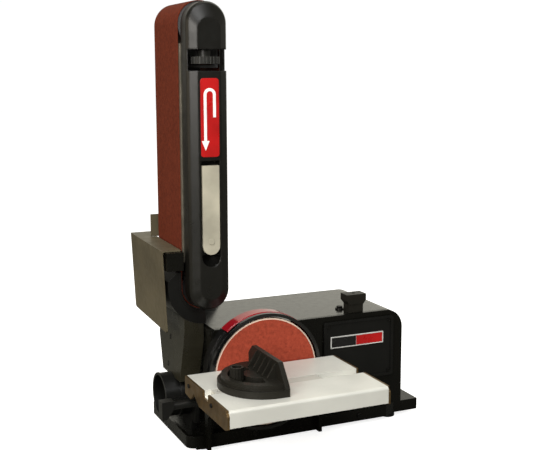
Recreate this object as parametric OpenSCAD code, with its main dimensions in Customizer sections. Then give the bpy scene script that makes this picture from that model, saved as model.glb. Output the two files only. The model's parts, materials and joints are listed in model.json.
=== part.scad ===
// Belt and disc sander: abrasive disc with tilting table, folding belt arm, dust chute and base.
// X runs along the machine to the right, Y to the back, Z up. The disc faces -Y.

/* [Belt arm] */
// Length of the endless abrasive belt, along its grit side
belt_length = 915; // [900:5:930]
// Width of the abrasive belt
belt_w = 100; // [90:1:102]
// Radius of the drive and idler rollers
roller_r = 30; // [28:0.5:31]
// Height of the drive roller axis above the bench
drive_z = 225.5; // [222:0.5:232]
// Half width of the arm cover
cover_r = 28.4; // [26:0.2:29]
// Travel of the idler yoke when the belt is slackened
yoke_travel = 7; // [4:0.5:8]

/* [Disc and motor] */
// Diameter of the abrasive disc
disc_d = 150; // [140:1:152]
// Sideways position of the motor axis from the belt arm's centre line
motor_x = 69; // [67:0.5:72]
// Height of the motor axis above the bench
motor_z = 110; // [108:0.5:112]
// Radius of the motor shaft
shaft_r = 7; // [5:0.5:8]

/* [Table] */
// Length of the work table
table_l = 225; // [215:1:230]
// Depth of the work table
table_d = 154; // [150:1:158]
// Height of the table surface above the bench
table_z = 121.5; // [119:0.5:123]
// Width of the mitre gauge slot
slot_w = 19; // [16:0.5:20]

/* [Housing and base] */
// Length of the motor housing
body_l = 305; // [295:1:310]
// Depth of the motor housing
body_d = 154; // [150:1:160]
// Height of the housing's top above the bench
body_top = 169.5; // [166:0.5:172]
// Height of the rubber feet
foot_h = 8; // [6:0.5:10]
// Height of the base tray above the feet
base_h = 17; // [14:0.5:18]
// Hole spacing of the bench bolts along X
bolt_x = 340; // [330:1:344]
// Hole spacing of the bench bolts along Y
bolt_y = 110; // [90:1:115]

/* [Dust outlet] */
// Outer radius of the dust port tube
port_r = 31.5; // [30:0.5:33]
// Wall of the dust port tube
port_wall = 2.5; // [2:0.25:4]

/* [Hidden] */
$fn = 64;
eps = 0.05;
clear = 0.3;
fit = 0.05;

// Housing and base levels
body_y = 30;
body_back = body_y + body_d;
front_t = 6;
hood_t = 2.5;
hood_round = 28;
floor_z = foot_h + 4;
base_top = foot_h + base_h;
base_x0 = -40;
base_x1 = 334;
base_y0 = 20;
base_y1 = 190;
bolt_r = 3.5;
bolt_cx = 150;
bolt_cy = 115;
foot_places = [[-12, 42], [-12, 176], [290, 44], [290, 176]];
base_screw_z = 16;
base_screw_x = [60, 228];

// Front panel, badge, arm rest, switch and cable gland
panel_x = [172, 288];
panel_z = [70, 161.5];
panel_t = 3.5;
panel_floor = 1.8;  // left behind the panel's recessed field
panel_screw_in = 7;
badge_x = [183, 271];
badge_z = [121.5, 139];
badge_split = 225;
badge_rim = 1.6;
rest_x = 230;
rest_y = 46;
rest_screw_places = [[rest_x, rest_y], [rest_x - 13, rest_y + 19]];
switch_y = 105;
switch_z = 100;
gland_x = 285;
gland_z = 45;

// Disc and its guard
disc_r = disc_d / 2;
paper_r = disc_r - 1;
plate_r = disc_r + 1;
paper_t = 0.8;
disc_t = 9;
guard_in = plate_r + 2.5;
guard_out = guard_in + 4.5;
guard_front = -1;
guard_rim = 5;  // back of the guard's front rim
guard_split = 132;
guard_start = -8;

// Belt arm
belt_t = 1.2;
belt_in = roller_r + clear;
belt_out = belt_in + belt_t;
axis_gap = (belt_length - 2 * PI * belt_out) / 2;  // between the roller axes
idler_z = drive_z + axis_gap;
belt_y0 = 63;
belt_y1 = belt_y0 + belt_w;
roller_y0 = belt_y0 + 1.8;
roller_y1 = belt_y1 + 0.3;
arm_r = 25.5;
arm_front = 58.5;
arm_front_t = 5.5;
arm_rear = belt_y1 + 2.5;
arm_rear_t = 6;
spine_z0 = drive_z + roller_r + 5;
spine_z1 = idler_z - 66;
spine_x = 20;
spine_wall = 4;
cover_back = 57.5;
cover_front = 27;
cover_wall = 2.5;
pad_r = 16.2;
pad_top = 592;
knob_y = 45;
knob_z = 531;
knob_t = 9.6;
lever_top = 397;
lever_w = 24;
lever_bottom = 276;
lever_pin_z = 390;
lever_pin_y = 34;
lever_pocket_top = 403.5;
lever_gap = 1.4;  // round the lever in its recess
recess_back = 39.6;
recess_bottom = 272;
dish_r = 13;
platen_x = belt_in - 0.15;
platen_t = 2.5;
platen_z1 = idler_z - 26;

// Drive train behind the housing
boss_r = 20;
drive_shaft_r = 8;
case_y0 = body_back + 0.3;
case_t = 8;
pulley_y0 = case_y0 + case_t + 4;
pulley_w = 12;
motor_pulley_r = 12;
drive_pulley_r = 24;
drive_belt_t = 3;
case_r_top = 35;
case_r_low = 34;
case_boss_r = 3.9;
drive_at = [0, drive_z];
motor_at = [motor_x, motor_z];
case_heading = atan2(motor_z - drive_z, motor_x);
case_side = [sin(-case_heading), cos(case_heading)];
case_mid = drive_at + 0.4 * (motor_at - drive_at);
case_screw_places = [
  drive_at + [-23.5, 21.5], drive_at + [23.5, 21.5], motor_at + [-26, -13], motor_at + [26, -13],
  case_mid + 28.5 * case_side, case_mid - 28.5 * case_side
];
cover_y1 = pulley_y0 + pulley_w + 6;

// Table and gauge
table_x0 = -51;
table_x1 = table_x0 + table_l;
table_y1 = -2;
table_y0 = table_y1 - table_d;
table_t = 12;
table_lip = 22;
end_t = 3;
slot_y = -80;
slot_depth = 9;
tilt_y = -10;
tilt_arc = 35.6;
tilt_max = 45;
clamp_a = 266;
clamp_head_r = 9;
clamp_y = tilt_y + tilt_arc * cos(clamp_a);
clamp_z = table_z + tilt_arc * sin(clamp_a);
trunnion_x = [-15.5, 155];
trunnion_w = 5;
trunnion_y = 9;
lock_stem_r = 5.5;
lock_handle_x = [-89, -72.5];
lock_handle_z = [clamp_z - 15.6, clamp_z + 8.5];
cheek_t = 3;
cheek_x = [trunnion_x[0] - cheek_t - 0.5, trunnion_x[1] + trunnion_w + 0.5];
end_screw_y = [-18, -102];
end_screw_z = table_z - 9.5;
bar_x0 = -40;
bar_l = 150;
gauge_z = table_z + 0.3;
gauge_pivot_x = 22;
gauge_knob_x = -8;
head_t = 9;
head_step = 7;
fence_x = 33;
fence_t = 6.5;
fence_l = 118;
fence_h = 39;

// Work stop
stop_x = -54;
stop_t = 2;
stop_rise = 1.5;  // slope of the stop towards its back
stop_lean = 3;
stop_top = 279;
stop_y0 = 58;
stop_y1 = 207;
tab_x = [-39, -12];
tab_y = arm_rear + arm_rear_t + 4.5;
tab_bolt_z = [stop_top + 11, stop_top + 26];
tab_top = stop_top + 35;

// Dust path
scoop_y0 = 58;
scoop_y1 = 165;
scoop_in = 33;
scoop_out = 52.2;
scoop_lip = 23;  // height of the lip above the drive axis
column_top = 180;
column_screw_places = [[-32.2, 144], [-36.4, 104]];
column_screw_y = 114;
port_x0 = -56;
port_x1 = -12;
port_y = 97;
port_z = 64.5;
port_collar = [-33, -29];
collar_h = 1.8;

// Tension spring, between the foot of the spine and the yoke's stem
spring_z = [spine_z0 + 6, spine_z1 - 130];
spring_y = 115;

// ---- helpers ----

// Moves the machine so that the centre of its bench bolts, on the base's underside, is the origin
module placed() translate([-bolt_cx, -bolt_cy, -foot_h]) children();

// Span from half below to half above a middle value
function around(mid, half) = [mid - half, mid + half];

module box(x, y, z)
  translate([x[0], y[0], z[0]]) cube([x[1] - x[0], y[1] - y[0], z[1] - z[0]]);

// Cylinders along each axis, from a first to a second coordinate
module rod_x(r, x, y, z)
  translate([x[0], y, z]) rotate([0, 90, 0]) cylinder(r = r, h = x[1] - x[0]);

module rod_y(r, y, x, z)
  translate([x, y[1], z]) rotate([90, 0, 0]) cylinder(r = r, h = y[1] - y[0]);

module rod_z(r, z, x, y)
  translate([x, y, z[0]]) cylinder(r = r, h = z[1] - z[0]);

module ring_y(r_out, r_in, y, x, z)
  difference() {
    rod_y(r_out, y, x, z);
    rod_y(r_in, [y[0] - 1, y[1] + 1], x, z);
  }

// A drawing in the XZ plane given a thickness along Y
module along_y(y)
  translate([0, y[1], 0]) rotate([90, 0, 0]) linear_extrude(y[1] - y[0]) children();

// A drawing in the YZ plane given a thickness along X
module along_x(x)
  translate([x[0], 0, 0]) rotate([90, 0, 90]) linear_extrude(x[1] - x[0]) children();

// Upright slot outline between two heights
module stadium(r, z) {
  translate([0, z[0]]) circle(r);
  translate([0, z[1]]) circle(r);
  translate([-r, z[0]]) square([2 * r, z[1] - z[0]]);
}

// Outline of a belt round two circles
module wrap(a, ra, b, rb) {
  gap = norm(b - a);
  heading = atan2(b[1] - a[1], b[0] - a[0]);
  lean = acos((ra - rb) / gap);
  translate(a) circle(ra);
  translate(b) circle(rb);
  polygon([
    for (side = [1, -1]) a + ra * [cos(heading + side * lean), sin(heading + side * lean)],
    for (side = [-1, 1]) b + rb * [cos(heading + side * lean), sin(heading + side * lean)]
  ]);
}

module round_rect(x, y, r) {
  for (cx = [x[0] + r, x[1] - r], cy = [y[0] + r, y[1] - r])
    translate([cx, cy]) circle(r);
  translate([x[0] + r, y[0]]) square([x[1] - x[0] - 2 * r, y[1] - y[0]]);
  translate([x[0], y[0] + r]) square([x[1] - x[0], y[1] - y[0] - 2 * r]);
}

// Pan head screw seen from its head, shank along -Z
module screw(r, head_r, head_h, shank) {
  difference() {
    cylinder(r = head_r, h = head_h);
    translate([-head_r * 0.7, -0.4, head_h * 0.55]) cube([head_r * 1.4, 0.8, head_h]);
    translate([-0.4, -head_r * 0.7, head_h * 0.55]) cube([0.8, head_r * 1.4, head_h]);
  }
  translate([0, 0, -shank]) cylinder(r = r, h = shank + eps);
}

// ---- housing ----

module housing_outline(inset = 0) {
  r = hood_round - inset;
  difference() {
    union() {
      translate([inset, floor_z]) square([body_l - 2 * inset, body_top - floor_z - hood_round]);
      translate([inset, body_top - hood_round - eps])
        square([body_l - hood_round - inset, hood_round - inset + eps]);
      translate([body_l - hood_round, body_top - hood_round]) circle(r);
    }
    translate([inset, body_top - inset]) rotate(45) square(6, center = true);
  }
}

module base_outline(inset = 0) {
  corner = 12;
  difference() {
    union() {
      round_rect([base_x0 + inset, base_x1 - inset], [base_y0 + inset, base_y1 - inset], corner - inset);
      translate([base_x1 - corner - inset, base_y0 + inset]) square([corner, 40]);
    }
    polygon([[272, base_y0 - 1], [base_x1 + 1, base_y0 - 1], [base_x1 + 1, body_y], [293, body_y]]);
  }
}

module bench_holes(r)
  for (sx = [-1, 1], sy = [-1, 1])
    rod_z(r, [foot_h - 1, base_top + 1], bolt_cx + sx * bolt_x / 2, bolt_cy + sy * bolt_y / 2);

module base_tray() color("dimgray") difference() {
  union() {
    translate([0, 0, foot_h]) linear_extrude(base_h) base_outline();
    box([-28, 156], [base_y0, base_y0 + 5], [foot_h - 2.5, foot_h + eps]);
  }
  // left tray
  box([base_x0 + 4.5, -3], [base_y0 + 11, base_y1 - 4], [floor_z, base_top + 1]);
  // room for the housing
  box([-fit, body_l + fit], [body_y - fit, body_back + fit], [floor_z - fit, base_top + 1]);
  // hollow underside of the right ledge
  box([body_l + 4, base_x1 - 4], [body_y + 44, base_y1 - 30], [foot_h - 1, base_top - 4]);
  bench_holes(bolt_r);
  for (p = foot_places) rod_z(3, [foot_h - 1, floor_z + 1], p[0], p[1]);
  for (x = base_screw_x) rod_y(2.2, [base_y0 - 1, base_y0 + 9], x, base_screw_z);
}

module rubber_feet() color("#1c1c1c") for (p = foot_places)
  translate([p[0], p[1], 0]) difference() {
    union() {
      cylinder(r = 11, h = foot_h);
      translate([0, 0, foot_h - eps]) cylinder(r = 2.9, h = 4.5);
    }
    translate([0, 0, -1]) cylinder(r = 5, h = 4);
  }

module base_screws() color("silver") for (x = base_screw_x)
  translate([x, base_y0, base_screw_z]) rotate([90, 0, 0]) screw(2, 4, 2.2, 7);

module vent_slots(x, z, count, pitch, length)
  for (i = [0:count - 1])
    translate([x + i * pitch, 0]) stadium(2, [z, z + length]);

module front_plate() color("#26262a") difference() {
  union() {
    along_y([body_y, body_y + front_t]) housing_outline();
    for (i = [0:2]) box([1.5 + i * 5, 4 + i * 5], [body_y - 2.5, body_y + 1], [40, 150]);
  }
  rod_y(27, [body_y - 4, body_y + front_t + 1], motor_x, motor_z);
  for (p = panel_screw_places) rod_y(1.7, [body_y - 5, body_y + front_t + 1], p[0], p[1]);
  rod_y(guard_out + fit, [body_y - 5, body_y], motor_x, motor_z);
}

module motor_hood() color("#3a3a3c") difference() {
  along_y([body_y + front_t, body_back - 3]) housing_outline();
  along_y([body_y + front_t - 1, body_back]) translate([0, -1]) housing_hollow();
  // room for the switch
  box([body_l - 6, body_l + 1], around(switch_y, 21), around(switch_z, 22));
  for (p = rest_screw_places) rod_z(2.6, [body_top - 6, body_top + 1], p[0], p[1]);
}

module housing_hollow() {
  bend = [body_l - hood_round, body_top - hood_round];
  translate([hood_t, floor_z - 2]) square([body_l - 2 * hood_t, bend[1] - floor_z + 3]);
  translate([hood_t + 4, bend[1]]) square([bend[0] - hood_t - 4, hood_round - hood_t + 1]);
  translate(bend + [0, 1]) circle(hood_round - hood_t);
}

module rear_plate() color("#26262a") difference() {
  along_y([body_back - 3, body_back]) housing_outline();
  rod_y(16, [body_back - 4, body_back + 1], motor_x, motor_z);
  along_y([body_back - 4, body_back + 1]) vent_slots(170, 60, 9, 9, 60);
  rod_y(7.2, [body_back - 4, body_back + 1], gland_x, gland_z);
}

// ---- front panel, badge ----

panel_screw_places = [
  for (x = panel_x + panel_screw_in * [1, -1], z = panel_z + panel_screw_in * [1, -1]) [x, z]
];

module front_panel() color("#303033") difference() {
  along_y([body_y - panel_t, body_y]) round_rect(panel_x, panel_z, 4);
  along_y([body_y - 5, body_y - panel_floor]) round_rect(panel_x + [4, -4], panel_z + [4, -4], 3);
  for (p = panel_screw_places) rod_y(1.7, [body_y - 5, body_y + 1], p[0], p[1]);
}

module panel_screws() color("silver") for (p = panel_screw_places)
  translate([p[0], body_y - panel_floor, p[1]]) rotate([90, 0, 0]) screw(1.6, 2.6, 1.4, 6);

module badge_frame() color("gainsboro") difference() {
  along_y([body_y - panel_floor - 1.2, body_y - panel_floor]) round_rect(badge_x, badge_z, 1);
  inset = badge_rim * [1, -1];
  box(badge_x + inset, [body_y - 4, body_y - panel_floor - 0.5], badge_z + inset);
}

module badge_fields() {
  x = badge_x + (badge_rim + 0.1) * [1, -1];
  z = badge_z + (badge_rim + 0.1) * [1, -1];
  y = [body_y - panel_floor - 1.1, body_y - panel_floor - 0.5];
  color("#151515") box([x[0], badge_split - 0.4], y, z);
  color("crimson") box([badge_split + 0.4, x[1]], y, z);
}

// ---- disc guard ----

function arc(r, a0, a1, steps) =
  [for (i = [0:steps]) let (a = a0 + (a1 - a0) * i / steps) r * [cos(a), sin(a)]];

module sector(r, a0, a1, steps = 6) polygon(concat([[0, 0]], arc(r, a0, a1, steps)));

module guard_ring(r_out, a0, a1)
  translate([motor_x, motor_z]) intersection() {
    difference() {
      circle(r_out);
      circle(guard_in);
    }
    sector(200, a0, a1);
  }

module guard_lower() color("#222226") difference() {
  union() {
    // rim all round the disc
    ring_y(guard_out, guard_in, [guard_front, guard_rim], motor_x, motor_z);
    // stepped wall round the lower part
    along_y([guard_rim - 1, body_y]) guard_ring(guard_out - 2, guard_split + 0.4, 352);
    along_y([14, body_y]) guard_ring(guard_out, guard_split + 0.4, 352);
  }
  // opening towards the base
  box([motor_x - 25, motor_x + 25], [guard_rim + 1, body_y - 6], [0, 60]);
}

module guard_upper() color("firebrick") {
  along_y([guard_rim + clear, body_y]) guard_ring(guard_out - 0.4, guard_start, guard_split);
  along_y([guard_rim + 3, body_y - 4]) guard_ring(guard_out + 0.5, guard_start, guard_split);
}

// ---- arm rest ----

module arm_rest() color("#2a2a2c") difference() {
  union() {
    box(around(rest_x, 11.5), around(rest_y, 9), [body_top, body_top + 16]);
    along_y(around(rest_y, 10)) polygon([
      [rest_x - 11.5, body_top + 12], [rest_x + 11.5, body_top + 12],
      [rest_x + 16, body_top + 18], [rest_x + 16, drive_z - cover_r - 0.5],
      [rest_x - 16, drive_z - cover_r - 0.5], [rest_x - 16, body_top + 18]
    ]);
  }
  rod_z(2.6, [body_top - 1, body_top + 60], rest_x, rest_y);
}

module arm_rest_screw() color("#3c3c3c") {
  translate([rest_x, rest_y, drive_z - cover_r - 3.5]) screw(2.5, 2.55, 2.2, 28);
  translate([rest_screw_places[1][0], rest_screw_places[1][1], body_top]) {
    cylinder(r = 6.5, h = 2);
    cylinder(r = 5, h = 5, $fn = 6);
    translate([0, 0, -5]) cylinder(r = 2.5, h = 6);
  }
}

// ---- dust path ----

// Quarter ring under the drive roller with an upright lip on its left
module scoop_outline(out, in, corner = 13, lip = scoop_lip, end = 272)
  translate(drive_at) polygon(concat(
    arc(out, 180, end, 18), arc(in, end, 180, 18),
    [[-in, lip], [-out + corner, lip], [-out, lip - corner + 1]]
  ));

module dust_scoop() color("#242428") difference() {
  union() {
    along_y([scoop_y0, scoop_y1]) scoop_outline(scoop_out, scoop_in);
    // raised bead along the front's inner edge
    along_y([scoop_y0 - 1.2, scoop_y0 + 1])
      scoop_outline(scoop_in + 3, scoop_in + 0.4, 1.5, scoop_lip - 0.6, 270);
  }
  // channel that gathers the dust off the belt
  along_y([scoop_y0 + 3, scoop_y1 - 3]) intersection() {
    scoop_outline(scoop_out - 3, scoop_in - 1);
    translate([-scoop_out, drive_z - 60]) square([60, scoop_lip + 56]);
  }
  // outlet into the column
  box([-27, -4.8], [scoop_y0 + 4, scoop_y1 - 4], [drive_z - scoop_out - 5, drive_z - 40]);
}

// Column outline seen from the left: it narrows towards the port
module column_side(grow = 0)
  polygon([
    [scoop_y0 + grow, column_top + 20], [scoop_y1 - grow, column_top + 20],
    [scoop_y1 - grow, 140], [136 - grow, 92], [60 + grow, 92], [scoop_y0 + grow, 140]
  ]);

module column_front(inset = 0)
  polygon([
    [-30 + inset, column_top + 4 - inset], [-30 + inset, 165], [-37.5 + inset, 92], [-9 - inset, 92],
    [-1.8 - inset, 150], [-1.8 - inset, column_top + 4 - inset]
  ]);

module dust_column() color("#3a382f") difference() {
  intersection() {
    along_y([0, 220]) column_front();
    along_x([-60, 20]) column_side();
  }
  intersection() {
    along_y([0, 220]) translate([0, 8]) column_front(2.5);
    along_x([-60, 20]) column_side(2.5);
  }
  intersection() {
    along_y([0, 220]) translate([0, -8]) column_front(2.5);
    along_x([-60, 20]) column_side(2.5);
  }
  // seat under the scoop
  rod_y(scoop_out + fit, [scoop_y0 - 1, scoop_y1 + 1], 0, drive_z);
  // seat over the port tube and its collar
  rod_x(port_r + fit, [port_x0, port_x1 + 20], port_y, port_z);
  rod_x(port_r + collar_h + clear, port_collar + [-clear, clear], port_y, port_z);
  // counterbored screw holes
  for (p = column_screw_places) {
    rod_x(2, [-60, -20], column_screw_y, p[1]);
    rod_x(4.2, [-60, p[0] + 1.2], column_screw_y, p[1]);
  }
}

module column_screws() color("#303030") for (p = column_screw_places)
  translate([p[0] + 1.2, column_screw_y, p[1]]) rotate([0, -90, 0]) screw(1.9, 3.6, 1.1, 6);

module dust_port() color("#202022") difference() {
  union() {
    rod_x(port_r, [port_x0, port_x1], port_y, port_z);
    rod_x(port_r + collar_h, port_collar, port_y, port_z);
    rod_x(port_r + 1, [port_x0, port_x0 + 2], port_y, port_z);
    // split flange along the front
    box([port_x0 + 4, port_x1], [port_y - port_r - 6, port_y - port_r + 8], [port_z - 4, port_z + 4]);
    box([port_x1 - 3, port_x1 + 3], [port_y - 36, port_y + 36], [28, 91.6]);
    box([port_x1 - 3, port_x1 + 3], [port_y - 20, port_y + 20], [floor_z + fit, 30]);
  }
  rod_x(port_r - port_wall, [port_x0 - 1, port_x1 - 4], port_y, port_z);
  // way up into the column
  box([-33, -13], [port_y - 22, port_y + 22], [port_z, port_z + port_r + 5]);
}

// ---- drive train behind the housing ----

module pivot_housing() color("#2c2c30") difference() {
  union() {
    along_y([case_y0, case_y0 + case_t]) wrap(drive_at, case_r_top, motor_at, case_r_low);
    rod_y(boss_r, [arm_rear - 0.2, case_y0 + eps], 0, drive_z);
    rod_y(boss_r + 5, [arm_rear + arm_rear_t + 1.5, case_y0 + eps], 0, drive_z);
  }
  rod_y(13.05, [arm_rear - 1, case_y0 + case_t + 1], 0, drive_z);
  rod_y(14.05, [case_y0 - 1, case_y0 + case_t + 1], motor_x, motor_z);
  for (p = case_screw_places) rod_y(1.8, [case_y0 - 1, case_y0 + case_t + 1], p[0], p[1]);
}

module drive_cover() color("#202024") difference() {
  along_y([case_y0 + case_t, cover_y1]) wrap(drive_at, case_r_top, motor_at, case_r_low);
  difference() {
    along_y([case_y0 + case_t - 1, cover_y1 - 2.5])
      wrap(drive_at, case_r_top - 2.5, motor_at, case_r_low - 2.5);
    for (p = case_screw_places) rod_y(case_boss_r, [case_y0, cover_y1], p[0], p[1]);
  }
  for (p = case_screw_places) rod_y(1.8, [case_y0, cover_y1 + 1], p[0], p[1]);
}

module drive_cover_screws() color("silver") for (p = case_screw_places)
  translate([p[0], cover_y1, p[1]]) rotate([-90, 0, 0]) screw(1.7, 3.4, 2, 20);

module drive_belt() color("#151515") {
  top_r = drive_pulley_r + clear;
  low_r = motor_pulley_r + clear;
  difference() {
    along_y([pulley_y0 + 1, pulley_y0 + pulley_w - 1])
      wrap(drive_at, top_r + drive_belt_t, motor_at, low_r + drive_belt_t);
    along_y([pulley_y0, pulley_y0 + pulley_w]) wrap(drive_at, top_r, motor_at, low_r);
  }
}

// Toothed pulley: grooves run along its axis
module pulley(r, teeth, y, at) difference() {
  rod_y(r, y, at[0], at[1]);
  for (i = [0:teeth - 1])
    translate([at[0], 0, at[1]]) rotate([0, i * 360 / teeth, 0])
      box([r - 1.2, r + 1], y + [-1, 1], [-0.9, 0.9]);
}

// ---- motor ----

module motor_stator() color("#6a6a6c") {
  ring_y(46, 32.5, [62, 138], motor_x, motor_z);
  color("peru") for (y = [[50, 62 - eps], [138 + eps, 150]]) ring_y(43, 34, y, motor_x, motor_z);
}

module motor_end_bells() color("#8a8a8c") for (end = [0, 1]) {
  y = end == 0 ? [44, 49] : [151, 156];
  difference() {
    union() {
      rod_y(50, y, motor_x, motor_z);
      rod_y(20, end == 0 ? [body_y + front_t + 0.5, 49] : [151, 166], motor_x, motor_z);
    }
    rod_y(14.05, [20, 180], motor_x, motor_z);
    for (a = [0:60:300])
      rod_y(6, [40, 160], motor_x + 34 * cos(a), motor_z + 34 * sin(a));
  }
  for (a = [45, 135, 225, 315])
    rod_y(2.5, end == 0 ? [48.9, 100] : [100, 151.1], motor_x + 49 * cos(a), motor_z + 49 * sin(a));
}

module motor_bearings() color("silver") {
  for (y = [[38, 48], [153, 163]]) ring_y(14, shaft_r + fit, y, motor_x, motor_z);
  ring_y(13, drive_shaft_r + fit, [arm_rear + 1, arm_rear + 11], 0, drive_z);
  ring_y(13, drive_shaft_r + fit, [case_y0 - 2, case_y0 + 7], 0, drive_z);
}

module capacitor() color("#c9c9c4") {
  rod_y(17, [70, 132], 150, 34);
  box([131, 169], [92, 110], [floor_z, floor_z + 4.9]);
}

module switch_box() color("#2a2a2a") difference() {
  union() {
    box([body_l - 28, body_l], around(switch_y, 20.8), around(switch_z, 21.8));
    box([body_l, body_l + 2.5], around(switch_y, 25), around(switch_z, 26));
  }
  box([body_l - 18, body_l + 4], around(switch_y, 15), around(switch_z, 14));
}

module switch_rocker() color("green") {
  x = body_l - 8;
  difference() {
    union() {
      rod_y(11, around(switch_y, 14.5), x, switch_z);
      box([x, x + 12], around(switch_y, 14.5), around(switch_z, 10));
    }
    box([x - 12, x - 7], around(switch_y, 15), around(switch_z, 15));
    rod_y(2.05, around(switch_y, 16), x, switch_z);
  }
  rod_y(2, around(switch_y, 15), x, switch_z);
}

module cable_gland() color("#1a1a1a") {
  difference() {
    union() {
      rod_y(7, [body_back - 6, body_back + 2], gland_x, gland_z);
      translate([gland_x, body_back + 10, gland_z]) rotate([90, 0, 0]) cylinder(r = 9, h = 10, $fn = 8);
      rod_y(6.5, [body_back + 10, body_back + 18], gland_x, gland_z);
    }
    rod_y(4, [body_back - 7, body_back + 19], gland_x, gland_z);
  }
}

// ---- disc ----

module disc_plate() color("gainsboro") difference() {
  union() {
    rod_y(plate_r, [paper_t, paper_t + disc_t], motor_x, motor_z);
    rod_y(18, [paper_t + disc_t - eps, 26], motor_x, motor_z);
  }
  rod_y(shaft_r + fit, [6, 30], motor_x, motor_z);
  ring_y(68, 26, [paper_t + 5, 20], motor_x, motor_z);
}

module disc_paper() color("#b84a2e") rod_y(paper_r, [0, paper_t - 0.02], motor_x, motor_z);

module motor_shaft() color("silver") rod_y(shaft_r, [6.2, pulley_y0 + pulley_w + 2], motor_x, motor_z);

module motor_rotor() color("#7d7d80") {
  ring_y(32, shaft_r + fit, [60, 140], motor_x, motor_z);
  // cooling fan
  ring_y(12, shaft_r + fit, [167, 177], motor_x, motor_z);
  for (a = [0:40:320])
    translate([motor_x, 0, motor_z]) rotate([0, a, 0]) box([11, 38], [168, 176], [-1, 1]);
  ring_y(39, shaft_r + fit, [175, 177], motor_x, motor_z);
}

module motor_pulley() color("#55555a") difference() {
  pulley(motor_pulley_r, 18, [pulley_y0, pulley_y0 + pulley_w], motor_at);
  rod_y(shaft_r + fit, [pulley_y0 - 1, pulley_y0 + pulley_w + 1], motor_x, motor_z);
}

// ---- table ----

// Fixed brackets. The table's cheeks swing on their pins.
module trunnions() color("#2b2b2d") for (x0 = trunnion_x) {
  x = [x0, x0 + trunnion_w];
  difference() {
    union() {
      // leg bolted to the front of the base
      box(x, [trunnion_y, base_y0 - 0.1], [6, 76]);
      along_x(x) {
        translate([clamp_y, clamp_z]) circle(clamp_head_r);
        polygon([
          [trunnion_y + 2, 50], [clamp_y - 3, clamp_z - 8.2],
          [clamp_y + 2, clamp_z + 8.6], [trunnion_y + 2, 72]
        ]);
      }
    }
    if (x0 < 0) rod_x(3.05, x + [-1, 1], clamp_y, clamp_z);
  }
  // the right bracket's own guide pin
  if (x0 > 0) {
    rod_x(3, [x[1] - 1, x[1] + cheek_t + 1], clamp_y, clamp_z);
    rod_x(5.5, [x[1] + cheek_t + 0.8, x[1] + cheek_t + 3], clamp_y, clamp_z);
  }
}

module table_top() color("whitesmoke") difference() {
  union() {
    x = [table_x0 + end_t, table_x1 - end_t];
    box(x, [table_y0 + 4, table_y1], [table_z - table_t, table_z]);
    // front edge: rounded over and carried down as a lip
    box(x, [table_y0, table_y0 + 5], [table_z - table_lip, table_z - 4]);
    rod_x(4, x, table_y0 + 4, table_z - 4);
    // stiffening ribs underneath, the rear one between the brackets
    box(x, [-120, -116], [table_z - 20, table_z - table_t + eps]);
    box([-2, 136], [-40, -36], [table_z - 20, table_z - table_t + eps]);
  }
  // mitre gauge slot
  slot = around(slot_y, slot_w / 2);
  box([table_x0 - 1, table_x1 + 1], slot, [table_z - slot_depth, table_z + 1]);
  // pockets in the underside
  for (y = [[table_y0 + 8, slot[0] - 4], [slot[1] + 4, -40]])
    box([table_x0 + 10, table_x1 - 10], y, [table_z - table_t - 1, table_z - 6]);
  for (y = end_screw_y) rod_x(1.6, [table_x0 - 1, table_x1 + 1], y, end_screw_z);
  // bevel under the edge that faces the disc, so that the table can tilt
  along_x([table_x0 + end_t - 1, table_x1 - end_t + 1])
    polygon([
      [table_y1 + 1, table_z - 3], [table_y1 + 1, table_z - 30],
      [tilt_y, table_z - 30], [tilt_y, table_z - table_t]
    ]);
}

module table_end_outline() difference() {
  polygon([
    [table_y0 + 4, table_z - 3], [table_y0, table_z - 7], [table_y0, table_z - 23],
    [table_y0 + 8, table_z - 26], [-60, table_z - 26], [-40, table_z - 28],
    [table_y1, table_z - 24], [table_y1, table_z], [table_y0 + 4, table_z]
  ]);
  // clears the stem of the lock lever at every tilt
  translate([tilt_y, table_z]) intersection() {
    difference() {
      circle(60);
      circle(tilt_arc - lock_stem_r - 0.8);
    }
    sector(100, clamp_a - tilt_max - 11, 300, 12);
  }
  translate([slot_y - slot_w / 2, table_z - slot_depth]) square([slot_w, 20]);
}

module table_ends() color("#8c8878") for (x = [[table_x0, table_x0 + end_t], [table_x1 - end_t, table_x1]])
  difference() {
    along_x(x) table_end_outline();
    for (y = end_screw_y) rod_x(1.8, x + [-1, 1], y, end_screw_z);
  }

module table_end_screws() color("#606060") for (y = end_screw_y) {
  translate([table_x0, y, end_screw_z]) rotate([0, -90, 0]) screw(1.5, 3, 1.5, 12);
  translate([table_x1, y, end_screw_z]) rotate([0, 90, 0]) screw(1.5, 3, 1.5, 12);
}

// Sheet cheeks under the table, each with an arc slot about the tilt axis
module table_cheeks() color("#77746a") for (x0 = cheek_x) {
  x = [x0, x0 + cheek_t];
  difference() {
    along_x(x) intersection() {
      translate([tilt_y, table_z]) circle(tilt_arc + 7);
      translate([tilt_y - 50, table_z - 60]) square([51, 60 - table_t - 0.1]);
    }
    along_x(x + [-1, 1]) translate([tilt_y, table_z]) intersection() {
      difference() {
        circle(tilt_arc + 3.3);
        circle(tilt_arc - 3.3);
      }
      sector(100, clamp_a - tilt_max - 5, clamp_a + 5, 10);
    }
  }
}

// Lock lever at the left end: a long stem, a hanging handle, and a bolt through the left cheek's slot
module table_lock() color("#1e1e1e") {
  stem_end = cheek_x[0] - 0.8;
  rod_x(lock_stem_r, [lock_handle_x[1] - 2, stem_end], clamp_y, clamp_z);
  rod_x(3, [stem_end - 1, trunnion_x[0] + trunnion_w + 4], clamp_y, clamp_z);
  along_y(around(clamp_y, 7.5)) polygon([
    [lock_handle_x[0], lock_handle_z[1]], [lock_handle_x[1], lock_handle_z[1]],
    [lock_handle_x[1], clamp_z - 2], [lock_handle_x[0] + 7, lock_handle_z[0]],
    [lock_handle_x[0], lock_handle_z[0]]
  ]);
}

// ---- mitre gauge ----

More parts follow.
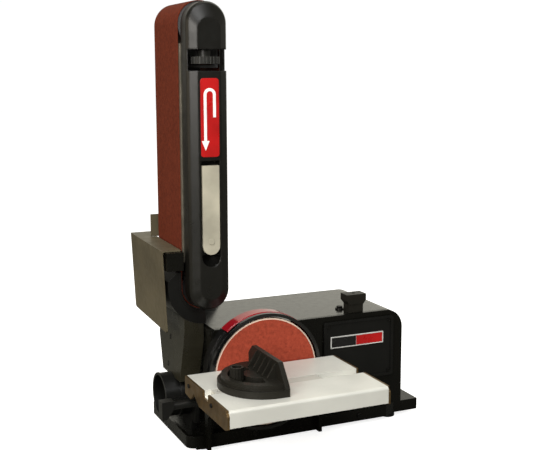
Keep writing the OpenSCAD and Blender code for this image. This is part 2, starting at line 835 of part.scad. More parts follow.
module gauge_bar() color("silver") {
  difference() {
    box([bar_x0, bar_x0 + bar_l], [slot_y - slot_w / 2 + 0.2, slot_y + slot_w / 2 - 0.2],
      [table_z - slot_depth + 0.3, table_z - 0.2]);
    rod_z(3.5, [table_z - 20, table_z + 1], bar_x0 + 8, slot_y);
  }
  rod_z(5, [table_z - 0.3, gauge_z + head_t], gauge_pivot_x, slot_y);
  rod_z(3, [table_z - 0.3, gauge_z + 22], gauge_knob_x, slot_y);
}

module head_outline(r) {
  arc_x = fence_x - 5;
  intersection() {
    translate([arc_x, slot_y]) circle(r);
    translate([arc_x - r - 1, slot_y - r]) square([r + 1, 2 * r]);
  }
  translate([arc_x - 1, slot_y - r]) square([6, 2 * r]);
}

// Band round the gauge's pivot that the clamp travels in
module clamp_band(half_w, half_a) {
  r = gauge_pivot_x - gauge_knob_x;
  translate([gauge_pivot_x, slot_y]) intersection() {
    difference() {
      circle(r + half_w);
      circle(r - half_w);
    }
    sector(100, 180 - half_a, 180 + half_a, 10);
  }
}

module gauge_head() color("#4a4a4c") difference() {
  union() {
    translate([0, 0, gauge_z]) linear_extrude(head_t) head_outline(fence_l / 2);
    translate([0, 0, gauge_z + head_t - eps]) linear_extrude(head_step) head_outline(fence_l / 2 - 5);
    // fence with a chamfered front and back end
    along_x([fence_x, fence_x + fence_t]) translate([slot_y, gauge_z]) fence_outline();
    // webs that stiffen the fence
    for (i = [-2:2]) along_y(around(slot_y + 15 * i, 1.5)) translate([fence_x, gauge_z])
      polygon([
        [-13, head_t], [-13, head_t + head_step + 1.5], [-1.5, fence_h - 3], [1, fence_h - 3], [1, head_t]
      ]);
  }
  rod_z(5.05, [gauge_z - 1, gauge_z + head_t + 0.5], gauge_pivot_x, slot_y);
  translate([0, 0, gauge_z - 1]) linear_extrude(head_t + head_step + 2) clamp_band(3.4, 68);
  // well round the knob
  translate([0, 0, gauge_z + head_t]) linear_extrude(head_step + 1) clamp_band(10, 80);
}

module fence_outline() {
  h = fence_l / 2;
  polygon([
    [-h, 0], [h, 0], [h, fence_h - 12], [h - 12, fence_h], [-h + 22, fence_h], [-h + 2, 14], [-h, 10]
  ]);
}

module gauge_knob() color("#3c3c3e") {
  z0 = gauge_z + head_t + 0.3;
  difference() {
    rod_z(9, [z0, z0 + 19], gauge_knob_x, slot_y);
    rod_z(3.05, [z0 - 1, z0 + 14], gauge_knob_x, slot_y);
    rod_z(6.3, [z0 + 15.5, z0 + 20], gauge_knob_x, slot_y);
    for (a = [0:30:330])
      rod_z(1.2, [z0 + 2, z0 + 30], gauge_knob_x + 9.4 * cos(a), slot_y + 9.4 * sin(a));
  }
}

// ---- arm ----

module arm_spine() color("#55555a") difference() {
  y = [arm_front + arm_front_t, arm_rear];
  union() {
    box([-spine_x, spine_x], y, [spine_z0, spine_z1]);
    for (z = [spine_z0 + 20, (spine_z0 + spine_z1) / 2, spine_z1 - 30])
      box([-platen_x + platen_t, -spine_x + 1], [belt_y0 + 4, belt_y1 - 4], [z, z + 6]);
  }
  box((spine_x - spine_wall) * [-1, 1], y + [spine_wall, -spine_wall], [spine_z0 + 6, spine_z1 + 1]);
}

module arm_front_plate() color("#3d3d40") difference() {
  along_y([arm_front, arm_front + arm_front_t]) {
    translate([0, drive_z]) circle(arm_r);
    translate([-arm_r, drive_z]) square([2 * arm_r, spine_z1 - drive_z]);
  }
  rod_y(drive_shaft_r + fit, [arm_front - 1, arm_front + arm_front_t + 1], 0, drive_z);
}

module arm_rear_plate() color("#3d3d40") difference() {
  union() {
    along_y([arm_rear, arm_rear + arm_rear_t]) stadium(arm_r, [drive_z, spine_z1 - arm_r]);
    along_y([arm_rear, arm_rear + arm_rear_t]) translate([0, drive_z]) circle(27);
  }
  rod_y(boss_r + fit, [arm_rear - 1, arm_rear + arm_rear_t + 1], 0, drive_z);
}

module platen() color("#9a8f80") difference() {
  box([-platen_x, -platen_x + platen_t], [arm_front - 1, belt_y1 + 2], [spine_z0 + 2, platen_z1]);
  for (z = [spine_z0 + 23, (spine_z0 + spine_z1) / 2 + 3, spine_z1 - 27])
    for (y = [80, 146]) rod_x(1.6, [-40, -20], y, z);
}

module cover_shell(inset) {
  // side wall, then two bevels up to the flat front pad
  along_y([38, cover_back + (inset > 0 ? 1 : 0)]) stadium(cover_r - inset, [drive_z, idler_z]);
  hull() {
    along_y([37.9, 38]) stadium(cover_r - inset, [drive_z, idler_z], $fn = 48);
    along_y([33 + inset, 33.1 + inset]) stadium(cover_r - 2.6 - inset, [drive_z, idler_z], $fn = 48);
  }
  hull() {
    along_y([33 + inset, 33.1 + inset]) stadium(cover_r - 2.6 - inset, [drive_z, idler_z], $fn = 48);
    along_y([cover_front + inset, cover_front + 0.1 + inset])
      stadium(pad_r - inset, [drive_z + 4, pad_top - pad_r], $fn = 48);
  }
}

module arm_cover() color("#2b2b26") {
  half_w = lever_w / 2;
  difference() {
    cover_shell(0);
    difference() {
      cover_shell(cover_wall);
      // walls of the lever recess
      box((half_w + 3.7) * [-1, 1], [20, recess_back + 3.4], [250, lever_pocket_top + 2.2]);
      // lower end stays a closed pot
      box([-40, 40], [20, 31], [180, spine_z0 + 6]);
    }
    // opening for the tracking knob
    box([-cover_r + 1.8, cover_r + 1], [20, 44], [knob_z - 9, knob_z + 19]);
    // lever recess with a finger dish at its lower end
    box((half_w + lever_gap) * [-1, 1], [20, recess_back], [recess_bottom, lever_pocket_top]);
    translate([0, cover_front, recess_bottom]) sphere(dish_r);
    box([-9, 9], [30, 60], [lever_pin_z - 34, lever_pocket_top - 2]);
    // room for the lever's head when it is flipped
    box((half_w + 0.8) * [-1, 1], [30, 60], [lever_pin_z - 11, lever_pocket_top - 2]);
    rod_x(3.02, (half_w + 3.45) * [-1, 1], lever_pin_y, lever_pin_z);
  }
  // spacers to the arm's front plate
  for (x = [-17.5, 17.5], z = [spine_z0 - 8, 440, spine_z1 - 30])
    rod_y(4, [cover_front + 3.9, arm_front - fit], x, z);
}

module size_label() {
  color("firebrick") along_y([cover_front - 0.35, cover_front]) round_rect([-13, 13], [408.5, 512.5], 4);
  color("white") along_y([cover_front - 0.65, cover_front - 0.36]) {
    // running direction arrow: up, round the roller and down again
    translate([0, 491]) difference() {
      circle(8.5);
      circle(4.5);
      translate([-10, -20]) square([20, 20]);
    }
    translate([4.5, 461]) square([4, 30.1]);
    translate([-8.5, 430]) square([4, 61.1]);
    polygon([[-12, 430], [-1, 430], [-6.5, 417]]);
  }
}

module tension_lever() color("#b8b09a") difference() {
  union() {
    along_y([25.5, 33]) stadium(lever_w / 2, [lever_bottom + lever_w / 2, lever_top - lever_w / 2]);
    along_y([25.5, 33]) translate([-lever_w / 2, lever_top - 14]) square([lever_w, 14]);
    rod_x(5, [-lever_w / 2, lever_w / 2], lever_pin_y, lever_pin_z);
    // cam nose that works the yoke
    box([-7, 7], [lever_pin_y, lever_pin_y + 19], [lever_pin_z - 5, lever_pin_z + 5]);
    rod_y(4, [24.6, 26], 0, lever_bottom + 18);
  }
  rod_x(3.05, [-20, 20], lever_pin_y, lever_pin_z);
}

module lever_pin() color("silver") rod_x(3, (lever_w / 2 + 3.4) * [-1, 1], lever_pin_y, lever_pin_z);

module idler_yoke() color("#66666a") {
  z0 = idler_z - 45;
  front = [arm_front - 0.4, belt_y0 + 1];
  rear = [arm_rear, arm_rear + 5];
  difference() {
    union() {
      box([-14, 14], [arm_front + 0.3, rear[1]], [z0, z0 + 10]);
      // front fork, wide enough to close the cover's opening behind the knob
      box([-24, 24], front, [spine_z1 + yoke_travel + 1, idler_z]);
      rod_y(24.2, front, 0, idler_z);
      box([-12, 12], rear, [z0 + 9, idler_z]);
      rod_y(12, rear, 0, idler_z);
      // stem that slides in the spine
      box([-14, 14], [100, 130], [spine_z1 - 130, z0 + 1]);
      // lug for the tracking stud
      box([-9, 9], [knob_y - 8, arm_front + 0.4], [idler_z - 34, idler_z - 27]);
      // axle
      rod_y(6, [knob_y - 5, arm_rear + 8], 0, idler_z);
    }
    rod_z(3.1, [idler_z - 38, idler_z - 25], 0, knob_y);
    // room for the tracking knob
    box([-17.5, 17.5], [arm_front - 1, belt_y0 + 4.5], [knob_z - 1, knob_z + knob_t + 1]);
  }
}

module roller(z) rod_y(roller_r, [roller_y0, roller_y1], 0, z);

module idler_roller() color("#8d8d90") {
  difference() {
    roller(idler_z);
    rod_y(14, [roller_y0 - 1, roller_y1 + 1], 0, idler_z);
  }
  for (y = [[roller_y0 + 0.5, roller_y0 + 10], [roller_y1 - 10, roller_y1 - 0.5]])
    ring_y(14 + eps, 6 + fit, y, 0, idler_z);
}

module tension_spring() color("silver") difference() {
  rod_z(9, spring_z + [0, -0.2], 0, spring_y);
  rod_z(6.5, spring_z + [-1, 1], 0, spring_y);
  for (i = [1:7]) ring_z(12, 7.9, spring_z[0] + i * (spring_z[1] - spring_z[0]) / 8, spring_y);
}

// Groove that separates two coils
module ring_z(r_out, r_in, z, y)
  translate([0, y, z]) difference() {
    cylinder(r = r_out, h = 3);
    translate([0, 0, -1]) cylinder(r = r_in, h = 5);
  }

module tracking_knob() color("#5a5a5a") {
  difference() {
    union() {
      rod_z(20.5, [knob_z, knob_z + knob_t], 0, knob_y);
      rod_z(8.5, [knob_z + knob_t - eps, knob_z + 18], 0, knob_y);
    }
    for (a = [0:15:345])
      rod_z(1.5, [knob_z - 1, knob_z + knob_t + 0.01], 21 * cos(a), knob_y + 21 * sin(a));
  }
  rod_z(3, [knob_z + 17, idler_z - 6.2], 0, knob_y);
}

module sanding_belt() color("#6b3325") along_y([belt_y0, belt_y1]) difference() {
  stadium(belt_out, [drive_z, idler_z]);
  stadium(belt_in, [drive_z, idler_z]);
}

module drive_roller() color("#2e2e2e") difference() {
  roller(drive_z);
  rod_y(drive_shaft_r + fit, [roller_y0 - 1, roller_y1 + 1], 0, drive_z);
}

module drive_shaft() color("silver") {
  rod_y(drive_shaft_r, [arm_front - 0.5, pulley_y0 + pulley_w + 2], 0, drive_z);
  color("#55555a") difference() {
    pulley(drive_pulley_r, 36, [pulley_y0, pulley_y0 + pulley_w], drive_at);
    rod_y(drive_shaft_r - eps, [pulley_y0 - 1, pulley_y0 + pulley_w + 1], 0, drive_z);
  }
}

// ---- work stop ----

// Working flange and hanging plate, sloped up a little towards the back
module stop_sheet() {
  x0 = stop_x - 5;
  translate([0, stop_y0, stop_top + 1]) rotate([stop_rise, 0, 0]) translate([0, -stop_y0, 0]) {
    // flange, cut away where the belt and the arm pass
    box([x0, -belt_out - 2], [stop_y0, belt_y1 + 3], [-stop_t, 0]);
    box([x0, -40], [belt_y1, stop_y1], [-stop_t, 0]);
    box([-41, tab_x[1] + 0.4], [tab_y + 0.2, stop_y1], [-stop_t, 0]);
    // plate, leaning in a little towards its foot
    translate([x0, 0, 0]) rotate([0, -stop_lean, 0]) along_x([-stop_t, 0]) plate_outline();
    rod_y(1.5, [stop_y0 + 0.2, stop_y1 - 0.2], x0 + 0.1, 0.1 - stop_t);
  }
}

module plate_outline()
  polygon([
    [stop_y0, 0], [stop_y1, 0], [stop_y1, -111], [stop_y1 - 3, -114], [stop_y0 + 3, -116], [stop_y0, -113]
  ]);

module work_stop() color("#7d7868") difference() {
  union() {
    stop_sheet();
    // upright tab behind the belt
    box(tab_x, [tab_y, tab_y + stop_t], [stop_top + 2.7, tab_top]);
  }
  // slots that let the stop be set to the belt
  for (z = tab_bolt_z) box([-23, -13], [tab_y - 1, tab_y + 5], around(z, 2.6));
}

module stop_clamps() color("#1b1b1b") {
  // front block under the flange, fixed to the platen's edge
  z = [stop_top - 26.5, stop_top - 1.3];
  box([-56, -32], [50, belt_y0 - 0.4], z);
  box([-33, -platen_x - fit], [arm_front - 0.5, belt_y0 - 0.4], z);
  // spacers and bolts that hold the tab to the arm's rear plate
  for (z = tab_bolt_z) {
    rod_y(5, [arm_rear + arm_rear_t + fit, tab_y - 0.1], -20, z);
    rod_y(2.4, [tab_y - 0.2, tab_y + stop_t + 1], -20, z);
    translate([-20, tab_y + stop_t + 4, z]) rotate([90, 0, 0]) cylinder(r = 4.6, h = 3.8, $fn = 6);
  }
}

placed() base_tray();
placed() rubber_feet();
placed() base_screws();
placed() front_plate();
placed() motor_hood();
placed() rear_plate();
placed() front_panel();
placed() panel_screws();
placed() badge_frame();
placed() badge_fields();
placed() guard_lower();
placed() guard_upper();
placed() arm_rest();
placed() arm_rest_screw();
placed() dust_scoop();
placed() dust_column();
placed() dust_port();
placed() column_screws();
placed() pivot_housing();
placed() drive_cover();
placed() drive_cover_screws();
placed() drive_belt();
placed() motor_stator();
placed() motor_end_bells();
placed() motor_bearings();
placed() capacitor();
placed() switch_box();
placed() switch_rocker();
placed() cable_gland();
placed() trunnions();
placed() disc_plate();
placed() disc_paper();
placed() motor_shaft();
placed() motor_rotor();
placed() motor_pulley();
placed() table_top();
placed() table_ends();
placed() table_end_screws();
placed() table_cheeks();
placed() table_lock();
placed() gauge_bar();
placed() gauge_head();
placed() gauge_knob();
placed() arm_spine();
placed() arm_front_plate();
placed() arm_rear_plate();
placed() platen();
placed() arm_cover();
placed() size_label();
placed() tension_lever();
placed() lever_pin();
placed() idler_yoke();
placed() idler_roller();
placed() tension_spring();
placed() tracking_knob();
placed() sanding_belt();
placed() drive_roller();
placed() drive_shaft();
placed() work_stop();
placed() stop_clamps();
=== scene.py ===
"""Looks of a bench belt and disc sander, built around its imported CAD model.

Everything is in metres, in the CAD model's own frame: X to the right along the machine, Y to the
back, Z up. The abrasive disc faces -Y and the rubber feet reach the lowest point.
"""

import json
import math

import bpy
from mathutils import Matrix, Vector


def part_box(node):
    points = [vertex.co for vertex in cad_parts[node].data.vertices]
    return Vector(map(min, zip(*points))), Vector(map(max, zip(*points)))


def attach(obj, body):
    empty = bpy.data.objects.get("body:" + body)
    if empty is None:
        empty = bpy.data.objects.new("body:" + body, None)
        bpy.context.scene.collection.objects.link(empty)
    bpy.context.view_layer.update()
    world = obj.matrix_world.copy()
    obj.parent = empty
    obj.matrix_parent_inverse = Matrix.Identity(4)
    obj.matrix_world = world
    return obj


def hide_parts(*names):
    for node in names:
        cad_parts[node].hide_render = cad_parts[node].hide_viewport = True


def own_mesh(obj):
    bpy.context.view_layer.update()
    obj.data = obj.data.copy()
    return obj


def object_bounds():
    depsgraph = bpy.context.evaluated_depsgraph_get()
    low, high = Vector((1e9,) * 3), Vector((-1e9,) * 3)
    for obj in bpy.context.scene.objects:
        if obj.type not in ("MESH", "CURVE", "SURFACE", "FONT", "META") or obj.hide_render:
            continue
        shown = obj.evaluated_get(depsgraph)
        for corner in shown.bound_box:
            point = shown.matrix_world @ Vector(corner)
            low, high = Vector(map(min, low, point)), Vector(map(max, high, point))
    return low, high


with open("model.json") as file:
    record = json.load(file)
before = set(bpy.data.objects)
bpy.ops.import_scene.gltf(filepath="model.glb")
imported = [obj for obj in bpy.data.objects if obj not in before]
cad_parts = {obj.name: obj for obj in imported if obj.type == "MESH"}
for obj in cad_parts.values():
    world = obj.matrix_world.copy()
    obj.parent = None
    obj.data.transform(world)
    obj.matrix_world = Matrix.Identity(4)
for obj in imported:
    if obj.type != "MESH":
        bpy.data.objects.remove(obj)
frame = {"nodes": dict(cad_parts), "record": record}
NODES = frame["nodes"]
CAD_BOX = [list(corner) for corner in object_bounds()]

MM = 0.001


# ---- camera ----


def make_camera():
    """Looks a little down at the machine from the front left."""
    place = Vector((-601.3, -1294.6, 511.0)) * MM
    yaw, pitch, roll = math.radians(24.33), math.radians(8.95), math.radians(-0.14)
    data = bpy.data.cameras.new("camera")
    data.sensor_width, data.lens = 36, 63.2
    data.clip_start, data.clip_end = 0.05, 50
    camera = bpy.data.objects.new("camera", data)
    bpy.context.scene.collection.objects.link(camera)
    ahead = Vector((math.sin(yaw) * math.cos(pitch), math.cos(yaw) * math.cos(pitch), -math.sin(pitch)))
    right = Vector((math.cos(yaw), -math.sin(yaw), 0))
    up = right.cross(ahead)
    right, up = (
        right * math.cos(roll) + up * math.sin(roll),
        up * math.cos(roll) - right * math.sin(roll),
    )
    turn = Matrix((right, up, -ahead)).transposed().to_4x4()
    camera.matrix_world = Matrix.Translation(place) @ turn
    bpy.context.scene.camera = camera


# ---- light and floor ----


def area_light(name, place, aim, size, watts, colour=(1, 1, 1)):
    data = bpy.data.lights.new(name, "AREA")
    data.shape, data.size, data.size_y = "RECTANGLE", size[0], size[1]
    data.energy, data.color = watts, colour
    light = bpy.data.objects.new(name, data)
    bpy.context.scene.collection.objects.link(light)
    light.location = place
    light.rotation_mode = "QUATERNION"
    light.rotation_quaternion = (Vector(aim) - Vector(place)).to_track_quat("-Z", "Y")


def make_world():
    """A bright backdrop and ceiling with a dim room in front, seen by the camera as plain white."""
    backdrop = Vector((0.65, 0.7, 0.3)).normalized()
    shades = ((0.0, 0.10), (0.5, 0.20), (0.72, 0.36), (1.0, 0.95))
    world = bpy.data.worlds.new("studio")
    bpy.context.scene.world = world
    world.use_nodes = True
    tree = world.node_tree
    seen = tree.nodes["Background"]
    seen.inputs["Color"].default_value = (1, 1, 1, 1)
    seen.inputs["Strength"].default_value = 1.02
    around = tree.nodes.new("ShaderNodeBackground")
    direction = tree.nodes.new("ShaderNodeTexCoord")
    toward_backdrop = tree.nodes.new("ShaderNodeVectorMath")
    toward_backdrop.operation = "DOT_PRODUCT"
    toward_backdrop.inputs[1].default_value = backdrop
    facing = tree.nodes.new("ShaderNodeMapRange")
    facing.inputs["From Min"].default_value = -1
    ramp = tree.nodes.new("ShaderNodeValToRGB")
    while len(ramp.color_ramp.elements) < len(shades):
        ramp.color_ramp.elements.new(0.5)
    for element, (at, light) in zip(ramp.color_ramp.elements, shades):
        element.position, element.color = at, (light, light * 0.97, light * 0.84, 1)
    choose = tree.nodes.new("ShaderNodeMixShader")
    path = tree.nodes.new("ShaderNodeLightPath")
    link = tree.links.new
    link(direction.outputs["Generated"], toward_backdrop.inputs[0])
    link(toward_backdrop.outputs["Value"], facing.inputs["Value"])
    link(facing.outputs["Result"], ramp.inputs["Fac"])
    link(ramp.outputs["Color"], around.inputs["Color"])
    link(path.outputs["Is Camera Ray"], choose.inputs["Fac"])
    link(around.outputs["Background"], choose.inputs[1])
    link(seen.outputs["Background"], choose.inputs[2])
    link(choose.outputs["Shader"], tree.nodes["World Output"].inputs["Surface"])


def make_lights():
    """Soft light from the front and above, with a weak warm one from the left end."""
    area_light("key", (-0.9, -1.3, 2.3), (0, 0, 0.2), (1.1, 1.1), 38)
    area_light("left", (-1.9, -1.6, 1.0), (0, 0, 0.25), (1.2, 1.2), 44, (1.0, 0.96, 0.90))
    area_light("fill", (-0.2, -2.1, 1.6), (0, 0, 0.2), (1.0, 1.0), 16)
    area_light("warm_side", (-1.7, 0.1, 0.6), (0, 0, 0.2), (0.9, 0.9), 4, (1.0, 0.84, 0.62))


def make_floor():
    """A floor under the feet, white to the camera and dim to the machine."""
    mesh = bpy.data.meshes.new("floor")
    far = 12
    low = CAD_BOX[0][2]
    corners = [(-far, -far, low), (far, -far, low), (far, far, low), (-far, far, low)]
    mesh.from_pydata(corners, [], [(0, 1, 2, 3)])
    floor = bpy.data.objects.new("floor", mesh)
    bpy.context.scene.collection.objects.link(floor)
    material = bpy.data.materials.new("floor")
    material.use_nodes = True
    nodes, link = material.node_tree.nodes, material.node_tree.links.new
    seen = nodes["Principled BSDF"]
    seen.inputs["Base Color"].default_value = (0.9, 0.9, 0.9, 1)
    seen.inputs["Roughness"].default_value = 0.8
    seen.inputs["Specular IOR Level"].default_value = 0.1
    seen.inputs["Emission Color"].default_value = (1, 1, 1, 1)
    seen.inputs["Emission Strength"].default_value = 0.8
    around = nodes.new("ShaderNodeBsdfDiffuse")
    around.inputs["Color"].default_value = (0.2, 0.2, 0.18, 1)
    choose = nodes.new("ShaderNodeMixShader")
    link(nodes.new("ShaderNodeLightPath").outputs["Is Camera Ray"], choose.inputs["Fac"])
    link(around.outputs["BSDF"], choose.inputs[1])
    link(seen.outputs["BSDF"], choose.inputs[2])
    link(choose.outputs["Shader"], nodes["Material Output"].inputs["Surface"])
    mesh.materials.append(material)


# ---- materials ----


class Finish:
    """A procedural material on a Principled shader, in object coordinates, which are metres."""

    def __init__(self, name, colour, roughness, metallic=0.0, specular=0.5, edge_mm=0.6):
        self.material = bpy.data.materials.new(name)
        self.material.use_nodes = True
        self.tree = self.material.node_tree
        self.shader = self.tree.nodes["Principled BSDF"]
        self.shader.inputs["Base Color"].default_value = (*colour, 1)
        self.shader.inputs["Roughness"].default_value = roughness
        self.shader.inputs["Metallic"].default_value = metallic
        self.shader.inputs["Specular IOR Level"].default_value = specular
        self.colour, self.roughness = colour, roughness
        self.place = self.tree.nodes.new("ShaderNodeTexCoord").outputs["Object"]
        soft_edge = self.tree.nodes.new("ShaderNodeBevel")
        soft_edge.samples = 4
        soft_edge.inputs["Radius"].default_value = edge_mm * MM
        self.normal = soft_edge.outputs["Normal"]
        self.tree.links.new(self.normal, self.shader.inputs["Normal"])

    def stretched(self, scale):
        mapping = self.tree.nodes.new("ShaderNodeMapping")
        mapping.inputs["Scale"].default_value = scale
        self.tree.links.new(self.place, mapping.inputs["Vector"])
        return mapping.outputs["Vector"]

    def noise(self, size_mm, detail=3.0, stretch=(1, 1, 1), rough=0.5):
        node = self.tree.nodes.new("ShaderNodeTexNoise")
        node.inputs["Scale"].default_value = 1 / (size_mm * MM)
        node.inputs["Detail"].default_value = detail
        node.inputs["Roughness"].default_value = rough
        self.tree.links.new(self.stretched(stretch), node.inputs["Vector"])
        return node.outputs["Fac"]

    def grains(self, size_mm):
        node = self.tree.nodes.new("ShaderNodeTexVoronoi")
        node.inputs["Scale"].default_value = 1 / (size_mm * MM)
        self.tree.links.new(self.place, node.inputs["Vector"])
        return node.outputs["Distance"]

    def ramp(self, value, stops):
        node = self.tree.nodes.new("ShaderNodeValToRGB")
        elements = node.color_ramp.elements
        while len(elements) < len(stops):
            elements.new(0.5)
        for element, (at, colour) in zip(elements, stops):
            element.position, element.color = at, (*colour, 1)
        self.tree.links.new(value, node.inputs["Fac"])
        return node.outputs["Color"]

    def vary_colour(self, value, darker, lighter, low=0.35, high=0.65):
        dark, light = (tuple(min(1, c * k) for c in self.colour) for k in (darker, lighter))
        colour = self.ramp(value, [(low, dark), (high, light)])
        self.tree.links.new(colour, self.shader.inputs["Base Color"])
        return self

    def vary_roughness(self, value, spread):
        node = self.tree.nodes.new("ShaderNodeMapRange")
        node.inputs["From Min"].default_value, node.inputs["From Max"].default_value = 0.3, 0.7
        node.inputs["To Min"].default_value = max(0.02, self.roughness - spread)
        node.inputs["To Max"].default_value = min(1, self.roughness + spread)
        self.tree.links.new(value, node.inputs["Value"])
        self.tree.links.new(node.outputs["Result"], self.shader.inputs["Roughness"])
        return self

    def bump(self, value, depth_mm, strength=1.0):
        node = self.tree.nodes.new("ShaderNodeBump")
        node.inputs["Distance"].default_value = depth_mm * MM
        node.inputs["Strength"].default_value = strength
        self.tree.links.new(value, node.inputs["Height"])
        self.tree.links.new(self.normal, node.inputs["Normal"])
        self.normal = node.outputs["Normal"]
        self.tree.links.new(self.normal, self.shader.inputs["Normal"])
        return self


def enamel(name, colour, roughness, specular=0.2):
    """Sprayed enamel with a faint orange peel."""
    f = Finish(name, colour, roughness, specular=specular)
    f.vary_colour(f.noise(60), 0.85, 1.2)
    f.vary_roughness(f.noise(9), 0.05)
    return f.bump(f.noise(2.2, 2), 0.004).material


def moulded(name, colour, roughness, grain_mm=0.55, depth_mm=0.02, specular=0.25, edge_mm=0.6):
    """Injection moulded plastic with a fine spark texture."""
    f = Finish(name, colour, roughness, specular=specular, edge_mm=edge_mm)
    f.vary_colour(f.noise(45), 0.85, 1.2)
    f.vary_roughness(f.noise(14), 0.05)
    return f.bump(f.noise(grain_mm, 4), depth_mm).material


def abrasive(name, colour, grit_mm):
    """Resin-bonded grit: bright and dark grains over a cloth backing."""
    f = Finish(name, colour, 0.85, specular=0.08)
    f.vary_colour(f.noise(5, 8, rough=0.8), 0.6, 1.4, 0.32, 0.68)
    f.bump(f.grains(grit_mm), 0.12, 0.8)
    return f.bump(f.noise(grit_mm * 0.7, 3), 0.05).material


def machined(name, colour, roughness, along):
    """Bare metal with fine tool marks that run along one axis."""
    f = Finish(name, colour, roughness, metallic=1.0)
    marks = f.noise(0.5, 3, tuple(0.02 if i == along else 1 for i in range(3)))
    f.vary_colour(f.noise(30), 0.9, 1.08)
    f.vary_roughness(marks, 0.08)
    return f.bump(marks, 0.008, 0.6).material


def cast_satin(name, colour, roughness):
    """Cast aluminium, ground flat and bead blasted, with faint handling marks."""
    f = Finish(name, colour, roughness, metallic=0.25, specular=0.4)
    f.vary_colour(f.noise(70, 4), 0.93, 1.04)
    f.vary_roughness(f.noise(18), 0.07)
    return f.bump(f.noise(0.8, 4), 0.015).material


def plated(name, colour, roughness):
    """Zinc-plated sheet steel with a soft spangle."""
    f = Finish(name, colour, roughness, metallic=0.85)
    f.vary_colour(f.noise(22, 5), 0.82, 1.15)
    f.vary_roughness(f.noise(8, 4), 0.09)
    return f.bump(f.noise(1.2, 3), 0.012).material


def make_finishes():
    """Every finish by name: its kind of surface, its base colour, and what sets it apart."""
    table = {
        "black_paint": (enamel, (0.0030, 0.0028, 0.0020), dict(roughness=0.28)),
        "hood_paint": (enamel, (0.005, 0.0048, 0.0035), dict(roughness=0.2, specular=0.6)),
        "black_plastic": (moulded, (0.005, 0.005, 0.0045), dict(roughness=0.34)),
        "cover_plastic": (
            moulded,
            (0.0052, 0.0050, 0.0040),
            dict(roughness=0.32, grain_mm=0.5, depth_mm=0.010, specular=0.35, edge_mm=3.0),
        ),
        "guard_red": (enamel, (0.24, 0.006, 0.012), dict(roughness=0.14, specular=1.0)),
        "guard_black": (enamel, (0.004, 0.004, 0.004), dict(roughness=0.2, specular=0.6)),
        # painted shade: a darker colour for the inside of the lever's recess
        "recess_black": (moulded, (0.003, 0.003, 0.0025), dict(roughness=0.6, specular=0.05)),
        "ivory_plastic": (
            moulded,
            (0.40, 0.375, 0.295),
            dict(roughness=0.42, grain_mm=0.6, depth_mm=0.010, specular=0.4),
        ),
        "grey_plastic": (moulded, (0.0125, 0.0115, 0.009), dict(roughness=0.42, specular=0.14)),
        "knob_plastic": (moulded, (0.018, 0.018, 0.016), dict(roughness=0.36)),
        "rubber": (moulded, (0.012, 0.012, 0.012), dict(roughness=0.7, grain_mm=0.9, depth_mm=0.03)),
        "steel": (machined, (0.56, 0.55, 0.53), dict(roughness=0.28, along=0)),
        "zinc_steel": (plated, (0.27, 0.25, 0.20), dict(roughness=0.42)),
        "screw_steel": (plated, (0.35, 0.34, 0.32), dict(roughness=0.34)),
        "black_screw": (plated, (0.02, 0.019, 0.017), dict(roughness=0.4)),
        # painted reflection: the olive colour stands for warm light reflected by the work stop's black
        # sheet
        "olive_sheet": (enamel, (0.088, 0.074, 0.046), dict(roughness=0.42, specular=0.2)),
        "column_paint": (enamel, (0.015, 0.0135, 0.008), dict(roughness=0.3, specular=0.45)),
        # painted reflection and painted shade: the brown colour stands for warm light and shade on the
        # table's end faces
        "end_plate": (plated, (0.17, 0.11, 0.05), dict(roughness=0.42)),
        "cast_aluminium": (cast_satin, (0.71, 0.71, 0.66), dict(roughness=0.40)),
        "bar_aluminium": (cast_satin, (0.56, 0.55, 0.50), dict(roughness=0.5)),
        "disc_rim": (enamel, (0.66, 0.52, 0.42), dict(roughness=0.4)),
        "frame_aluminium": (cast_satin, (0.10, 0.10, 0.10), dict(roughness=0.5)),
        "abrasive_belt": (abrasive, (0.110, 0.022, 0.0105), dict(grit_mm=0.7)),
        "abrasive_disc": (abrasive, (0.30, 0.050, 0.027), dict(grit_mm=0.7)),
        "stator": (machined, (0.28, 0.27, 0.26), dict(roughness=0.45, along=1)),
        "copper": (machined, (0.72, 0.32, 0.16), dict(roughness=0.34, along=1)),
        "label_red": (
            moulded,
            (0.40, 0.009, 0.009),
            dict(roughness=0.32, grain_mm=1.5, depth_mm=0.006),
        ),
        "label_white": (
            moulded,
            (0.80, 0.80, 0.78),
            dict(roughness=0.34, grain_mm=1.5, depth_mm=0.006),
        ),
        "badge_silver": (enamel, (0.52, 0.52, 0.50), dict(roughness=0.3)),
        "badge_dark": (
            moulded,
            (0.010, 0.010, 0.010),
            dict(roughness=0.25, grain_mm=1.5, depth_mm=0.006),
        ),
        "switch_green": (moulded, (0.02, 0.20, 0.05), dict(roughness=0.32)),
    }
    return {name: kind(name, colour, **rest) for name, (kind, colour, rest) in table.items()}


# ---- finish of each piece ----


def dress(finishes):
    """Gives every CAD node the finish of its material slot, or one of its own."""
    slots = {row["node"]: row["material_slot"] for row in frame["record"]["subparts"]}
    own = {
        "disc_plate": "disc_rim",
        # painted warm reflection and shade on the table's end faces
        "table_ends": "end_plate",
        "table_end_screws": "black_screw",
        "gauge_bar": "bar_aluminium",
        "guard_lower": "guard_black",
        "arm_rest": "grey_plastic",
        # painted warm reflection on the work stop
        "work_stop": "olive_sheet",
        "dust_column": "column_paint",
        "base_screws": "black_screw",
        "panel_screws": "black_screw",
        "column_screws": "black_screw",
        "arm_rest_screw": "black_screw",
    }
    for name, node in NODES.items():
        node.data.materials.clear()
        node.data.materials.append(finishes[own.get(name, slots[name])])


def repaint(name, finish, chosen):
    """Gives another finish to the faces whose centre passes the test."""
    mesh = NODES[name].data
    mesh.materials.append(finish)
    for face in mesh.polygons:
        if chosen(face.center):
            face.material_index = len(mesh.materials) - 1


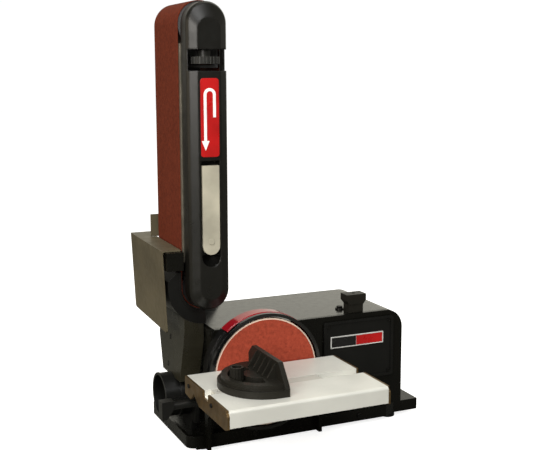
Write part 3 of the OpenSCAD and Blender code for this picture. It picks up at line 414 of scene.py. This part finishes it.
def paint_details(finishes):
    """Second finishes on the label, the badge and the stator, and painted shade in the lever's recess.
    """
    label_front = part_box("size_label")[0].y
    arrow_skin = 0.2 * MM
    repaint("size_label", finishes["label_white"], lambda at: at.y < label_front + arrow_skin)

    badge_middle = 75.2 * MM
    repaint("badge_fields", finishes["label_red"], lambda at: at.x > badge_middle)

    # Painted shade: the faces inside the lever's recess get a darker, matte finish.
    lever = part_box("tension_lever")
    lever_x = (lever[0].x + lever[1].x) / 2
    recess_half = 14 * MM
    recess_low, recess_high = lever[0].z - 18 * MM, lever[0].z + 6 * MM
    recess_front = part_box("arm_cover")[0].y + 1.2 * MM
    repaint(
        "arm_cover",
        finishes["recess_black"],
        lambda at: abs(at.x - lever_x) < recess_half
        and recess_low < at.z < recess_high
        and at.y > recess_front,
    )

    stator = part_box("motor_stator")
    winding = 12.02 * MM
    repaint(
        "motor_stator",
        finishes["copper"],
        lambda at: at.y < stator[0].y + winding or at.y > stator[1].y - winding,
    )


# ---- parts the CAD model simplifies ----


def make_spring(finish):
    """The tension spring as a wound wire that rides with the arm, in place of the CAD model's spring.
    """
    low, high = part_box("tension_spring")
    middle = (low + high) / 2
    wire = 1.25 * MM
    coil = (high.x - low.x) / 2 - wire
    turns, steps, sides = 9, 24, 10
    flat = 0.8  # turns that lie flat at each end
    bottom, travel = low.z + wire, high.z - low.z - 2 * wire
    vertices, faces = [], []
    count = turns * steps
    for i in range(count + 1):
        share = i / count
        turn = 2 * math.pi * turns * share
        rise = min(1, max(0, (share * turns - flat) / (turns - 2 * flat)))
        outward = Vector((math.cos(turn), math.sin(turn), 0))
        centre = Vector((middle.x, middle.y, bottom + travel * rise)) + outward * coil
        for k in range(sides):
            angle = 2 * math.pi * k / sides
            around = outward * math.cos(angle) + Vector((0, 0, math.sin(angle)))
            vertices.append(centre + wire * around)
    for i in range(count):
        for k in range(sides):
            a, b = i * sides + k, i * sides + (k + 1) % sides
            faces.append((a, a + sides, b + sides, b))
    faces.append(tuple(range(sides)))
    faces.append(tuple(reversed(range(count * sides, (count + 1) * sides))))
    mesh = bpy.data.meshes.new("wound_spring")
    mesh.from_pydata(vertices, [], faces)
    mesh.materials.append(finish)
    mesh.shade_smooth()
    spring = bpy.data.objects.new("wound_spring", mesh)
    bpy.context.scene.collection.objects.link(spring)
    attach(spring, "arm")
    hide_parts("tension_spring")
    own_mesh(spring)


# ---- build ----

make_camera()
make_world()
make_lights()
make_floor()
bpy.context.scene.view_settings.view_transform = "Standard"
FINISHES = make_finishes()
dress(FINISHES)
paint_details(FINISHES)
make_spring(FINISHES["steel"])
